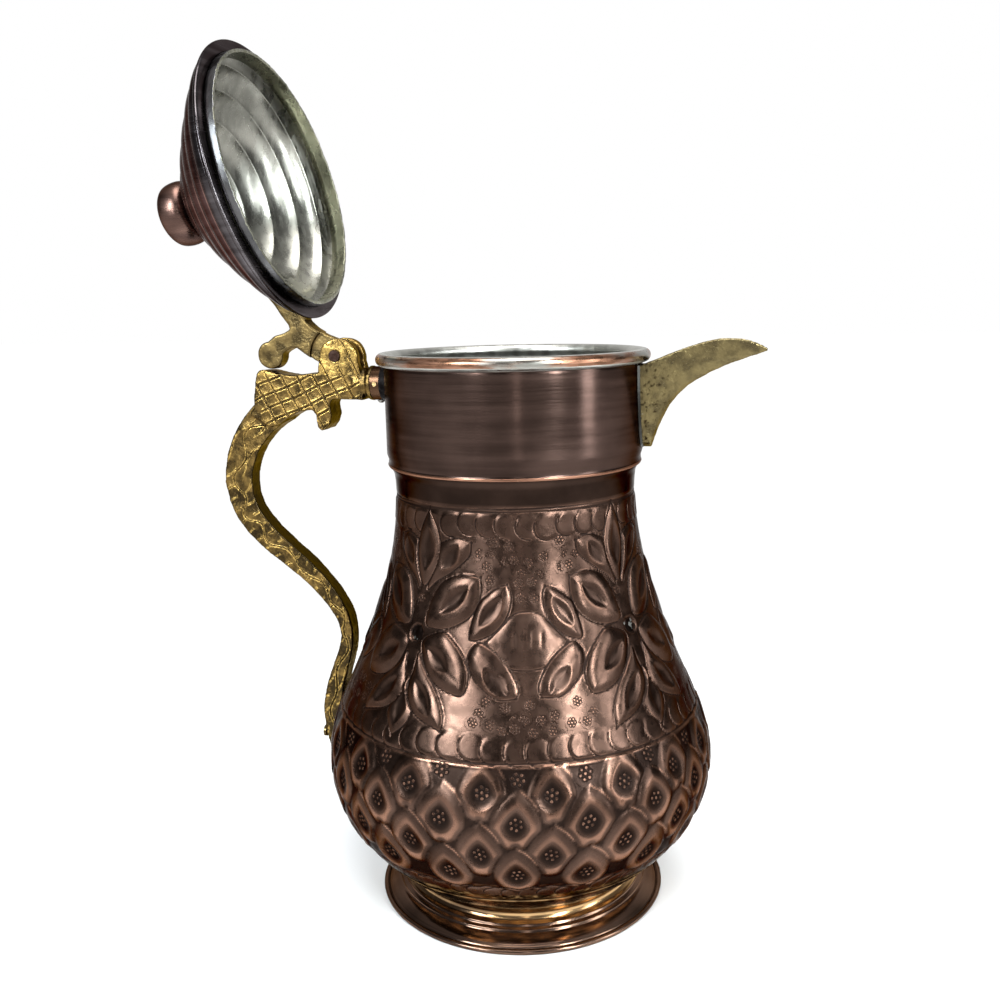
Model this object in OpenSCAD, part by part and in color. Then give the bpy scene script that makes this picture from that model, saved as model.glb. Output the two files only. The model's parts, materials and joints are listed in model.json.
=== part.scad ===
// Copper water jug with a cast handle, a beak spout and a hinged domed lid.
// Millimetres, +Z up, +X towards the spout. Origin: on the jug's axis, on the plane it stands on.
// The lid is drawn open, with its thumb curl resting on the handle's horn.

/* [Vessel] */
// Height of the rim bead's centre line
rim_h = 220; // [215:1:225]
// Greatest outer radius of the bowl
belly_r = 77.5; // [76:0.5:79]
// Smallest outer radius of the neck
neck_r = 47.2; // [46.5:0.1:47.5]
// Thickness of the bowl's copper sheet
sheet = 1.1; // [0.9:0.1:1.2]
// Outer radius of the foot's rolled edge
foot_r = 58.8; // [58:0.1:60]

/* [Rim] */
// Outer radius of the collar just under the bead
collar_r = 50.3; // [50.2:0.1:50.4]
// Radius of the bead's centre line
bead_ring_r = 50.9; // [50.8:0.1:51]
// Radius of the bead itself
bead_r = 2.5; // [2.3:0.1:2.6]
// Radius of the iron wire inside the bead
wire_r = 1.4; // [1.2:0.1:1.4]

/* [Spout] */
// Half width of the spout where it meets the collar
spout_half_w = 7.3; // [6:0.1:8]
// Wall thickness of the spout at its root
spout_wall = 1.8; // [1.5:0.1:2]
// Radius of a strainer hole
strainer_r = 1.3; // [1:0.1:1.5]

/* [Handle] */
// Thickness of the handle's head
head_w = 11.2; // [10:0.1:12]
// Thickness of the S-shaped grip
grip_w = 8; // [7:0.1:9]
// Height of the handle's spigot through the collar
boss_z = 209.7; // [209:0.1:210]
// Radius of the spigot
spigot_r = 2.4; // [2:0.1:2.6]

/* [Lid] */
// Angle between the closed lid and the lid as drawn, degrees
open_angle = 104; // [60:1:104]
// Radius of the hinge pin
pin_r = 2; // [1.8:0.1:2.2]
// Width of the lid arm's knuckle between the ears
knuckle_w = 4; // [3.6:0.1:4]
// Outer radius of the lid's brim
brim_r = 55.2; // [54.5:0.1:56]
// Height of one dome step above the groove beside it
step_h = 0.7; // [0.3:0.1:0.9]

/* [Hidden] */
$fn = 128;

gap = 0.05;                       // between pieces that are soldered or riveted together
fit = 0.04;                       // radial running clearance of the hinge pin
floor_z = 7.5;                    // underside of the bowl's floor
belly_z = 60;
neck_z = 170;
lap_z = 178.6;                    // lower edge of the collar, lapped over the neck
lap_r = 48.7;                     // outer radius of the neck inside the lap
ear_gap = knuckle_w + 0.4;
pin_x = -72.4;
pin_z = rim_h + 1;
hub_r = 6.6;
lid_z = rim_h + bead_r + 0.3;     // lower edge of the closed lid, just clear of the bead
dome_top = rim_h + 42;
knob_top = rim_h + 59;
skirt_r = 50.6;
tail_rivet_z = 58;
ferrule_x = [-57.5, -53.75];      // both ends of the ferrule
boss_r = 6.8;
cross_pin_x = -55.4;              // pin through the ferrule and the handle's spigot
cross_pin_r = 0.9;
tail_rivet_r = 1.6;
lid_rivet_r = 1.25;
knob_shank_r = 2.4;
steps = 5;                        // concentric steps on the dome
dome_n = 50;                      // points along the dome's outline
grip_n = 8;                       // points along each of the grip's curves

// ---- curves ----
function bez(p, t) = pow(1 - t, 3) * p[0] + 3 * t * pow(1 - t, 2) * p[1]
                   + 3 * t * t * (1 - t) * p[2] + pow(t, 3) * p[3];
function bez_d(p, t) = 3 * pow(1 - t, 2) * (p[1] - p[0]) + 6 * t * (1 - t) * (p[2] - p[1])
                     + 3 * t * t * (p[3] - p[2]);
function left_of(v) = [-v.y, v.x] / norm(v);
function curve(p, n, off = 0, from = 0) =
    [for (i = [from:n]) bez(p, i / n) + off * left_of(bez_d(p, i / n))];
function rev(v) = [for (i = [len(v) - 1:-1:0]) v[i]];
function arc(c, r, a0, a1, n) =
    [for (i = [0:n]) c + r * [cos(a0 + (a1 - a0) * i / n), sin(a0 + (a1 - a0) * i / n)]];

bowl = [[36, floor_z], [50, floor_z + 2.3], [belly_r, 32], [belly_r, belly_z]];
upper = [[belly_r, belly_z], [belly_r, 86], [neck_r + 0.9, 118], [neck_r, neck_z]];
dome = [[53.5, rim_h + 9], [48.8, rim_h + 15.7], [27.7, rim_h + 33.4], [14, rim_h + 41.3]];

// Outer outline of the bowl and neck, moved outwards by grow
function vessel_out(grow) = concat(curve(bowl, 14, -grow), curve(upper, 18, -grow, 1));

// Solid that fills the vessel's outside up to the neck, for cutting what rests on it
module vessel_solid(grow) {
    rotate_extrude()
        polygon(concat([[0, floor_z - grow]], vessel_out(grow), [[0, neck_z]]));
}

module collar_solid(grow) {
    translate([0, 0, lap_z - 2]) cylinder(h = rim_h - lap_z, r = collar_r + grow);
}

module along_x(x0, x1, r, z) {
    translate([x0, 0, z]) rotate([0, 90, 0]) cylinder(h = x1 - x0, r = r);
}

module along_y(half, r, x, z) {
    translate([x, half, z]) rotate([90, 0, 0]) cylinder(h = 2 * half, r = r);
}

// Flat plate in the XZ plane, thickness w, centred on Y = 0
module plate(w) {
    translate([0, w / 2, 0]) rotate([90, 0, 0]) linear_extrude(w) children();
}

// Turns what is drawn for the closed lid to the open place
module opened() {
    translate([pin_x, 0, pin_z]) rotate([0, -open_angle, 0]) translate([-pin_x, 0, -pin_z])
        children();
}

// ---- vessel ----
module body_shell() {
    top_in = lap_r - sheet;
    color("#6b3a26") difference() {
        rotate_extrude() polygon(concat(
            [[0, floor_z]],
            vessel_out(0),
            [[neck_r + 0.3, 175.5], [lap_r, lap_z - 0.4], [lap_r, lap_z + 8],
             [top_in, lap_z + 8], [top_in, lap_z], [neck_r + 0.3 - sheet, 176]],
            rev(curve(upper, 18, sheet, 1)),
            rev(curve(bowl, 14, sheet)),
            [[0, floor_z + sheet]]));
        along_x(-belly_r - 3, -belly_r + 6, tail_rivet_r + gap, tail_rivet_z);
    }
}

module collar() {
    in_r = lap_r + gap;
    color("#4a2a20") difference() {
        rotate_extrude() difference() {
            union() {
                polygon([[in_r, lap_z], [49.4, lap_z], [49.9, lap_z + 0.7], [49.9, lap_z + 2],
                         [49.7, lap_z + 3.4], [collar_r, rim_h - 3.5], [collar_r, rim_h - 1.8],
                         [collar_r - 1, rim_h - 1.8], [collar_r - 1, rim_h - 3.5], [in_r, lap_z + 9]]);
                translate([bead_ring_r, rim_h]) circle(bead_r);
            }
            translate([bead_ring_r, rim_h]) circle(wire_r + gap);
        }
        along_x(-collar_r - 2, -collar_r + 4, spigot_r + gap, boss_z);
        for (y = [-3.4, 0, 3.4], z = [193.5:4.4:212])
            translate([0, y, 0]) along_x(collar_r - 4, collar_r + 2, strainer_r, z);
    }
}

module rim_wire() {
    color("#555555") rotate_extrude() translate([bead_ring_r, rim_h]) circle(wire_r);
}

module foot_ring() {
    edge = foot_r - 0.5;
    color("#8a4b2c") difference() {
        rotate_extrude() polygon([
            [edge - 1.6, 0], [edge, 0], [foot_r, 0.6], [foot_r, 1.4], [edge, 2], [edge - 0.8, 2.2],
            [52, 5.2], [51.2, 5.4], [51.2, 6.2], [49.6, 6.6], [49.6, 7.4], [48.2, 7.8],
            [47, 9.2], [46.8, 10.6], [47.4, 11.8], [48.4, 13.5],
            [45.4, 13.5], [45.4, 9], [46.8, 6.6], [50, 4.3], [edge - 1.8, 1.1], [edge - 1.6, 0.8]]);
        vessel_solid(gap);
    }
}

module foot_solder() {
    color("#b8b8b4") difference() {
        rotate_extrude() polygon([[45.35, 8.8], [45.35, 13], [41.5, 13], [41.5, 9.4], [44.2, 9.1]]);
        vessel_solid(gap);
    }
}

// ---- spout ----
spout_top = [[50.6, 216.5], [64, 221], [81.5, 231.5], [96.5, 222.3]];
spout_low = [[54.2, 185.2], [61, 205], [64, 211], [96.8, 221.3]];
spout_n = 14;                     // sections along the spout after the one on the collar
spout_a = 10;                     // steps round each U

// One U-shaped section: from the top edge over the keel to the other top edge
function u_shape(top, low, half_w) =
    [for (i = [0:spout_a]) let (a = 180 * i / spout_a, p = top + (low - top) * sin(a))
        [p.x, -half_w * cos(a), p.y]];
// The section at t, with its keel moved in by keel and its sides by wall
function spout_u(t, wall, keel) =
    let (top = bez(spout_top, t), low = bez(spout_low, t), d = low - top, l = norm(d),
         half_w = 1 + (spout_half_w - 1) * (1 - pow(t, 1.4)))
    u_shape(top, low - d / l * min(keel, 0.55 * l), half_w - wall);
// The first section laid on the collar's round wall, lifted off it by lift
function root_u(wall, keel, lift = 0) =
    [for (p = spout_u(0, wall, keel)) [sqrt(pow(collar_r + gap, 2) - p.y * p.y) + lift, p.y, p.z]];
function rings_at(wall, keel) = concat(
    [root_u(wall, keel)],
    [for (i = [0:spout_n]) let (t = i / spout_n)
        spout_u(t, 0.6 * sign(wall) + (wall - 0.6 * sign(wall)) * (1 - t), keel * (1 - 0.6 * t))]);

// Open channel between an outer and an inner list of U sections
module channel(outer, inner) {
    n = spout_a + 1;
    m = len(outer);
    function o(i, j) = i * n + j;
    function q(i, j) = (m + i) * n + j;
    polyhedron(
        concat([for (r = outer) each r], [for (r = inner) each r]),
        concat(
            [for (i = [0:m - 2], j = [0:n - 2]) each [
                [o(i, j), o(i + 1, j), o(i, j + 1)], [o(i, j + 1), o(i + 1, j), o(i + 1, j + 1)],
                [q(i, j), q(i, j + 1), q(i + 1, j)], [q(i, j + 1), q(i + 1, j + 1), q(i + 1, j)]]],
            [for (j = [0:n - 2]) each [
                [o(0, j), o(0, j + 1), q(0, j)], [o(0, j + 1), q(0, j + 1), q(0, j)],
                [o(m - 1, j), q(m - 1, j), o(m - 1, j + 1)],
                [o(m - 1, j + 1), q(m - 1, j), q(m - 1, j + 1)]]],
            [for (i = [0:m - 2]) each [
                [o(i, 0), q(i, 0), o(i + 1, 0)], [o(i + 1, 0), q(i, 0), q(i + 1, 0)],
                [o(i, n - 1), o(i + 1, n - 1), q(i, n - 1)],
                [o(i + 1, n - 1), q(i + 1, n - 1), q(i, n - 1)]]]));
}

module spout() {
    color("#8f8248") channel(rings_at(0, 0), rings_at(spout_wall, 2.4));
}

// Fillet along the spout's root: three long faces between the collar and the spout
module spout_solder() {
    corner = root_u(-0.04, -0.04);
    low_edge = root_u(-0.8, -0.8);
    high_edge = root_u(-0.04, -0.04, 0.75);
    n = spout_a + 1;
    color("#c4c4c0") polyhedron(
        concat(corner, low_edge, high_edge),
        concat(
            [[0, 2 * n, n], [n - 1, 2 * n - 1, 3 * n - 1]],
            [for (k = [0:2], j = [0:n - 2]) let (a = k * n + j, b = (k + 1) % 3 * n + j)
                each [[a, b, a + 1], [b, b + 1, a + 1]]]));
}

// ---- handle ----
grip_curves = [
    [[-98, 201], [-110, 195], [-119.5, 182], [-119.5, 168]],
    [[-119.5, 168], [-119.5, 148], [-98, 139], [-87, 127.5]],
    [[-87, 127.5], [-79, 119], [-73.8, 112], [-73.8, 103]],
    [[-73.8, 103], [-73.8, 94], [-81, 84], [-82, 70]],
    [[-82, 70], [-82.8, 58], [-81.5, 46], [-75, 38.5]]];
grip_widths = [14, 12.2, 7.8, 5.2, 8.4, 2];

// One edge of the grip: side is 1 on the left of the way down, -1 on the right
function grip_edge(side) = [for (k = [0:4], i = [(k == 0 ? 0 : 1):grip_n])
    let (t = i / grip_n, w = grip_widths[k] + (grip_widths[k + 1] - grip_widths[k]) * t)
    bez(grip_curves[k], t) + side * w / 2 * left_of(bez_d(grip_curves[k], t))];

module head_outline() {
    polygon([
        [-61, 203.2], [-74.4, 203.6], [-75.5, 201.5], [-75, 197], [-76, 193.6], [-78, 191.1],
        [-79.8, 190.7], [-81.3, 192], [-81.8, 197.3], [-83.4, 199.2], [-89, 198.5], [-93.5, 196.4],
        [-98, 193.2], [-103, 192], [-111.5, 197], [-109.2, 200], [-109.2, 204.3], [-108, 210.6],
        [-107.2, 214], [-106, 215.2], [-104.5, 215.4], [-101.8, 215], [-97.3, 213.9], [-91.9, 213.1],
        [-88.3, 213.4], [-84.5, 213.8], [-61, 213.8]]);
}

module ear_outline() {
    polygon(concat([[-61.2, 213]], arc([-71, 219.7], 8.2, -8, 172, 24), [[-80.2, 213]]));
}

module handle() {
    color("#c79a3a") difference() {
        union() {
            plate(head_w) head_outline();
            difference() {
                plate(head_w) ear_outline();
                translate([-90, -ear_gap / 2, 213.7]) cube([40, ear_gap, 20]);
            }
            plate(grip_w) polygon(concat(grip_edge(1), rev(grip_edge(-1))));
            along_x(-65, ferrule_x[0] - gap, 6.3, boss_z);
            along_x(-59.2, ferrule_x[0] - gap, 6.9, boss_z);
            along_x(-60, -47, spigot_r, boss_z);
            along_x(-47.6, -46.6, spigot_r + 0.9, boss_z);
        }
        along_y(head_w, pin_r + gap, pin_x, pin_z);
        along_y(head_w, cross_pin_r + gap, cross_pin_x, boss_z);
        along_x(-100, -belly_r + 4, tail_rivet_r + gap, tail_rivet_z);
        vessel_solid(gap);
    }
}

module handle_ferrule() {
    color("#a5683c") difference() {
        along_x(ferrule_x[0], ferrule_x[1], boss_r, boss_z);
        along_x(-60, -50, spigot_r + gap, boss_z);
        along_y(10, cross_pin_r + gap, cross_pin_x, boss_z);
    }
}

module ferrule_pin() {
    color("#c79a3a") along_y(boss_r + 0.3, cross_pin_r, cross_pin_x, boss_z);
}

module ferrule_solder() {
    color("#a8a8a4") difference() {
        translate([-55.2, 0, 203.2]) sphere(1.6);
        along_x(ferrule_x[0] - 2.5, ferrule_x[1] + 1, boss_r + 0.15, boss_z);
    }
}

module handle_saddle() {
    color("#16120f") difference() {
        along_x(ferrule_x[1] + gap, -46, boss_r + 0.2, boss_z);
        collar_solid(gap);
        along_x(-60, -45, spigot_r + gap, boss_z);
    }
}

module handle_burr() {
    color("#9a5a38") difference() {
        along_x(-48.6, -47.7, 4.6, boss_z);
        along_x(-50, -46, spigot_r + gap, boss_z);
    }
}

module tail_rivet() {
    color("#9a5a38") {
        along_x(-86.6, -74.4, tail_rivet_r, tail_rivet_z);
        along_x(-87.6, -86.6, 2.4, tail_rivet_z);
        along_x(-74.9, -74.1, 2.4, tail_rivet_z);
    }
}

module tail_burr() {
    color("#9a5a38") difference() {
        along_x(-75.8, -75, 4.4, tail_rivet_z);
        along_x(-80, -70, tail_rivet_r + gap, tail_rivet_z);
    }
}

module hinge_pin() {
    color("#2c1d18") {
        along_y(head_w / 2 + 0.3, pin_r, pin_x, pin_z);
        for (s = [-1, 1]) translate([0, s * (head_w / 2 + 0.35), 0]) along_y(0.3, 2.3, pin_x, pin_z);
    }
}

// ---- lid, drawn closed and turned by opened() ----
// Outline of the stepped dome; each step swells between two sharp grooves
function dome_point(t, off) =
    bez(dome, t) - (step_h * abs(sin(180 * steps * t)) + off) * left_of(bez_d(dome, t));
function dome_line(off) = [for (i = [0:dome_n]) dome_point(i / dome_n, off)];

module dome_solid(grow) {
    rotate_extrude() polygon(concat(
        [[0, lid_z + 3.6 - grow], [brim_r - 1, lid_z + 3.6 - grow], [brim_r + grow, lid_z + 4.6],
         [brim_r - 0.6 + grow, lid_z + 5.7 + grow]],
        dome_line(grow), [[0, dome_top + grow]]));
}

// Places children() on the dome's hinge side, at radius r, with +Z out of the surface
module on_dome(r, z) {
    translate([-r, 0, z]) rotate([0, -45, 0]) children();
}

// Each rivet's radius and height on the dome, and the arm's thickness there
rivet_spots = [[49.3, rim_h + 14.2, 6.1], [41.6, rim_h + 21.6, 2.2]];

module lid_dome() {
    color("#3f1f1a") opened() difference() {
        dome_solid(0);
        rotate_extrude() polygon(concat(
            [[0, lid_z], [skirt_r - 0.6, lid_z], [skirt_r - 0.6, lid_z + 6.2]],
            dome_line(-sheet), [[0, dome_top - sheet]]));
        translate([0, 0, dome_top - 5]) cylinder(h = 10, r = knob_shank_r + 0.1);
        for (s = rivet_spots) on_dome(s[0], s[1]) translate([0, 0, -6])
            cylinder(h = 12, r = lid_rivet_r + gap);
    }
}

module lid_skirt() {
    color("#a9a79c") opened() rotate_extrude() polygon([
        [skirt_r - 1.2, lid_z], [skirt_r, lid_z], [skirt_r + 0.2, lid_z + 3.5],
        [skirt_r - 0.7, lid_z + 3.5], [skirt_r - 0.7, lid_z + 6], [skirt_r - 1.6, lid_z + 6]]);
}

module knob() {
    color("#6e3828") opened() {
        rotate_extrude() polygon([
            [0, dome_top - 3.5], [3.6, dome_top - 3.5], [3.6, dome_top - 2.6],
            [knob_shank_r, dome_top - 2.6], [knob_shank_r, dome_top + gap], [6, dome_top + gap],
            [6.6, dome_top + 0.7], [11, dome_top + 1.4],
            [12.6, dome_top + 3], [13.1, dome_top + 5.5], [12.9, dome_top + 8], [11.8, dome_top + 11.2],
            [9.6, dome_top + 13.9], [6.4, dome_top + 15.9], [3.2, knob_top - 0.3], [0, knob_top]]);
    }
}

module knob_burr() {
    color("#9a5a38") opened() translate([0, 0, dome_top - 2.5]) difference() {
        cylinder(h = 0.9, r = 5);
        translate([0, 0, -1]) cylinder(h = 3, r = knob_shank_r + 0.1);
    }
}

// Lid arm as it lies with the lid open: hub, arm up to the dome, and thumb curl
module arm_outline() {
    polygon([
        [-72.4, 227.6], [-77.6, 229.6], [-81.9, 231.9], [-85.3, 235.2], [-84.6, 241], [-97.7, 252.2],
        [-104.5, 248.5], [-100.1, 243.3], [-96, 237.6], [-92.6, 233.3], [-92.3, 231.6],
        [-95, 230.2], [-99.3, 229], [-102, 227], [-101.7, 221.3], [-96.3, 221.8], [-94.7, 223],
        [-92.3, 224.2], [-89.7, 224.2], [-86.1, 221.7], [-82.7, 219.3], [-77.5, 216.8], [-72.4, 214.6]]);
    translate([-101.7, 221.3]) circle(5.5);
    translate([pin_x, pin_z]) circle(hub_r);
}

module lid_arm() {
    color("#b98c36") difference() {
        union() {
            plate(knuckle_w) arm_outline();
            plate(7) difference() {
                arm_outline();
                translate([pin_x, pin_z]) circle(11.5);
            }
        }
        along_y(head_w, pin_r + fit, pin_x, pin_z);
        opened() {
            dome_solid(gap);
            for (s = rivet_spots) on_dome(s[0], s[1]) translate([0, 0, -6])
                cylinder(h = 16, r = lid_rivet_r + gap);
        }
    }
}

module lid_arm_rivets() {
    color("#b98c36") opened() for (s = rivet_spots) on_dome(s[0], s[1]) {
        translate([0, 0, -2.8]) cylinder(h = 2.8 + s[2], r = lid_rivet_r);
        translate([0, 0, -2.8]) cylinder(h = 0.9, r = 2.2);
    }
}

body_shell();
collar();
rim_wire();
foot_ring();
foot_solder();
spout();
spout_solder();
handle();
handle_ferrule();
ferrule_pin();
ferrule_solder();
handle_saddle();
handle_burr();
tail_rivet();
tail_burr();
hinge_pin();
lid_arm();
lid_arm_rivets();
lid_dome();
lid_skirt();
knob();
knob_burr();
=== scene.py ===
import json
import math

import bmesh
import bpy
import numpy as np
from mathutils import Matrix, Vector


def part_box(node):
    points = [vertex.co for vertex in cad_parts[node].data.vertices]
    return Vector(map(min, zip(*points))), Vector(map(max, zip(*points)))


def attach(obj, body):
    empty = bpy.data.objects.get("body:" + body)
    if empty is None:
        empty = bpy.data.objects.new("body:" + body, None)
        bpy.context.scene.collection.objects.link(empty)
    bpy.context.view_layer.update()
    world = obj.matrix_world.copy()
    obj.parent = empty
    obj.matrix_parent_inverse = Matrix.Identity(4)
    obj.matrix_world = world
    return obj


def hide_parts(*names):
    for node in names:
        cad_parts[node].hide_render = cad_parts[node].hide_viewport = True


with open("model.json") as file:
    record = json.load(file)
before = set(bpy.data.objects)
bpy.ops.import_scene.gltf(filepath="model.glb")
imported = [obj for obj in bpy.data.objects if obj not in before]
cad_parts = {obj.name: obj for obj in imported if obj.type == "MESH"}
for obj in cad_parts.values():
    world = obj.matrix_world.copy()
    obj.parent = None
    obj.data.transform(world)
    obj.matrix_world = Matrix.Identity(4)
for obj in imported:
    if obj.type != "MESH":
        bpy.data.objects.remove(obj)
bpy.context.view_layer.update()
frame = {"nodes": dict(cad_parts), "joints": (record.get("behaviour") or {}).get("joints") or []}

MM = 0.001
scene = bpy.context.scene


# ------------------------ frame values
def corners(node):
    """Lowest and highest corner of a CAD node, in mm."""
    low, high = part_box(node)
    return np.array(low) / MM, np.array(high) / MM


shell_low, shell_high = corners("body_shell")
collar_low, collar_high = corners("collar")
pin_low, pin_high = corners("hinge_pin")

BELLY_R = shell_high[1]
FLOOR_Z = shell_low[2]
SHELL_TOP = shell_high[2]
BEAD_R = 2.5                      # radius of the rolled rim
RIM_Z = collar_high[2] - BEAD_R   # height of the rolled rim's middle
BEAD_RING = collar_high[1] - BEAD_R
COLLAR_R = BEAD_RING - 0.6        # outside of the collar's straight wall
LAP_Z = collar_low[2]             # lower edge of the collar, which laps over the shell
FOOT_R = corners("foot_ring")[1][1]
PIN = (pin_low + pin_high) / 2
SHEET = 1.1                       # thickness of the sheet
NECK_R = BELLY_R - 30.3
LAP_R = BELLY_R - 28.8
SKIRT_Z = RIM_Z + BEAD_R + 0.3    # lower edge of the lid's skirt, lid closed
CROWN_Z = RIM_Z + 42              # top of the lid's sheet under the knob, lid closed
LID_STEPS = 5                     # swellings from the lid's brim to its crown
OPEN_ANGLE = max(frame["joints"][0]["range_deg"])
# The lid's turned pieces are made as if it were closed, then swung to where the frame has it.
SWING = (Matrix.Translation(PIN * MM) @ Matrix.Rotation(-math.radians(OPEN_ANGLE), 4, "Y")
         @ Matrix.Translation(-PIN * MM))
CAMERA_PLACE = Vector((0.0998, -0.4083, 0.2421))
CAMERA_SIDE = math.atan2(CAMERA_PLACE.y, CAMERA_PLACE.x)
FLOOR_HALF = 6.0                  # half the floor's side, metres


# ------------------------ mesh helpers
def add_piece(name, points, faces, materials, body, stands_for=(), which=None):
    """A smooth mesh piece from points in mm, riding on a CAD body."""
    mesh = bpy.data.meshes.new(name)
    mesh.from_pydata((np.asarray(points, float) * MM).tolist(), [], faces)
    mesh.update()
    return dress(bpy.data.objects.new(name, mesh), materials, body, stands_for, which)


def dress(piece, materials, body, stands_for=(), which=None):
    """Links a piece, gives it its materials and says what it rides on and stands for."""
    scene.collection.objects.link(piece)
    mesh = piece.data
    mesh.materials.clear()
    for material in materials:
        mesh.materials.append(material)
    mesh.polygons.foreach_set("use_smooth", np.ones(len(mesh.polygons), bool))
    if which is not None:
        mesh.polygons.foreach_set("material_index", np.asarray(which, np.int32))
    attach(piece, body)
    if stands_for:
        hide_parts(*stands_for)
    return piece


def set_attribute(piece, name, values):
    """One number, or one vector, per vertex, for the material to read."""
    values = np.asarray(values, np.float32)
    kind, key = ("FLOAT", "value") if values.ndim == 1 else ("FLOAT_VECTOR", "vector")
    piece.data.attributes.new(name, kind, "POINT").data.foreach_set(key, values.ravel())


def unit(values):
    """Values kept between 0 and 1."""
    return np.clip(values, 0, 1)


def bell(values, width):
    """1 where values are 0, falling away over width."""
    return np.exp(-(values / width) ** 2)


def read_array(items, name, width, kind=np.float32):
    """One property of all the vertices or edges of a mesh, as rows of width numbers."""
    values = np.zeros(len(items) * width, kind)
    items.foreach_get(name, values)
    return values.reshape(-1, width)


def move_vertices(mesh, points):
    mesh.vertices.foreach_set("co", (points * MM).astype(np.float32).ravel())
    mesh.update()


def grid_faces(rows, columns, close_rows):
    """Quads of a grid whose columns close round; its rows close too if close_rows."""
    last = rows if close_rows else rows - 1
    i, j = np.meshgrid(np.arange(last), np.arange(columns), indexing="ij")
    row, column = (i + 1) % rows, (j + 1) % columns
    quads = np.stack([i * columns + j, i * columns + column,
                      row * columns + column, row * columns + j], -1)
    return quads.reshape(-1, 4).tolist()


def bezier(points, n):
    """n points of a cubic Bezier curve, both ends included."""
    t = np.linspace(0, 1, n)[:, None]
    p = np.asarray(points, float)
    return ((1 - t) ** 3 * p[0] + 3 * t * (1 - t) ** 2 * p[1]
            + 3 * t * t * (1 - t) * p[2] + t ** 3 * p[3])


def circle_arc(centre, radius, start, end, n):
    """n points from start to end, in degrees."""
    a = np.radians(np.linspace(start, end, n))
    return np.stack([centre[0] + radius * np.cos(a), centre[1] + radius * np.sin(a)], -1)


def joined(*parts):
    """Points and lines of points, one after the other, as one line."""
    return np.vstack([np.asarray(p, float).reshape(-1, 2) for p in parts])


def lengths_along(line):
    """Arc length from a line's start to each of its points."""
    return np.concatenate([[0], np.cumsum(np.hypot(*np.diff(line, axis=0).T))])


def lathe(name, outline, materials, body, stands_for=(), steps=256, which=None,
          shift=None, place=None):
    """A closed outline (r, z) turned round Z. shift(angle, r, z) gives hand-made unevenness,
    which(outline) the material of each band, and place moves the finished piece."""
    outline = np.asarray(outline, float)
    angle = np.linspace(0, 2 * np.pi, steps, endpoint=False)
    r, a = np.meshgrid(outline[:, 0], angle, indexing="ij")
    z = np.repeat(outline[:, 1][:, None], steps, 1)
    if shift is not None:
        dr, dz = shift(a, r, z)
        r, z = r + dr, z + dz
    points = np.stack([r * np.cos(a), r * np.sin(a), z], -1).reshape(-1, 3)
    area = np.sum(outline[:, 0] * np.roll(outline[:, 1], -1)
                  - np.roll(outline[:, 0], -1) * outline[:, 1])
    faces = grid_faces(len(outline), steps, True)
    if area < 0:
        faces = [f[::-1] for f in faces]
    bands = None if which is None else np.repeat(which(outline), steps)
    piece = add_piece(name, points, faces, materials, body, stands_for, bands)
    if place is not None:
        piece.data.transform(place)
        piece.data.update()
    return piece


def uneven(amount, seed):
    """Slow waves round a turned piece, as a hand-raised sheet has."""
    rng = np.random.default_rng(seed)
    phase = rng.uniform(0, 2 * np.pi, 6)

    def shift(a, r, z):
        wave = (np.sin(2 * a + phase[0]) + 0.6 * np.sin(3 * a + phase[1] + z * 0.03)
                + 0.35 * np.sin(5 * a + phase[2]) + 0.2 * np.sin(11 * a + phase[3] + z * 0.1))
        sway = np.sin(2 * a + phase[4]) + 0.5 * np.sin(5 * a + phase[5])
        return amount * wave, 0.5 * amount * sway * (r > 5)
    return shift


# ------------------------ material helpers
class Nodes:
    """Short calls for building one tree of shader nodes."""

    def __init__(self, tree):
        self.tree = tree
        tree.nodes.clear()

    def put(self, socket, value):
        if isinstance(value, bpy.types.NodeSocket):
            self.tree.links.new(value, socket)
        else:
            socket.default_value = value

    def node(self, kind, inputs, **settings):
        made = self.tree.nodes.new("ShaderNode" + kind)
        for key, value in settings.items():
            setattr(made, key, value)
        for key, value in inputs.items():
            self.put(made.inputs[key], value)
        return made

    def math(self, operation, a, b=0.0):
        return self.node("Math", {0: a, 1: b}, operation=operation).outputs[0]

    def times(self, a, b):
        return self.math("MULTIPLY", a, b)

    def plus(self, a, b):
        return self.math("ADD", a, b)

    def less(self, a, b):
        return self.math("SUBTRACT", a, b)

    def distance(self, a, b):
        """Length of a line that goes a one way and b the other."""
        return self.math("SQRT", self.plus(self.math("POWER", a, 2.0), self.math("POWER", b, 2.0)))

    def fade(self, value, start, end, low=0.0, high=1.0):
        """low below start, high above end, smooth between them."""
        inputs = {"Value": value, "From Min": start, "From Max": end, "To Min": low, "To Max": high}
        return self.node("MapRange", inputs, interpolation_type="SMOOTHSTEP").outputs[0]

    def mix(self, share, a, b):
        return self.node("Mix", {0: share, 6: a, 7: b}, data_type="RGBA").outputs[2]


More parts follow.
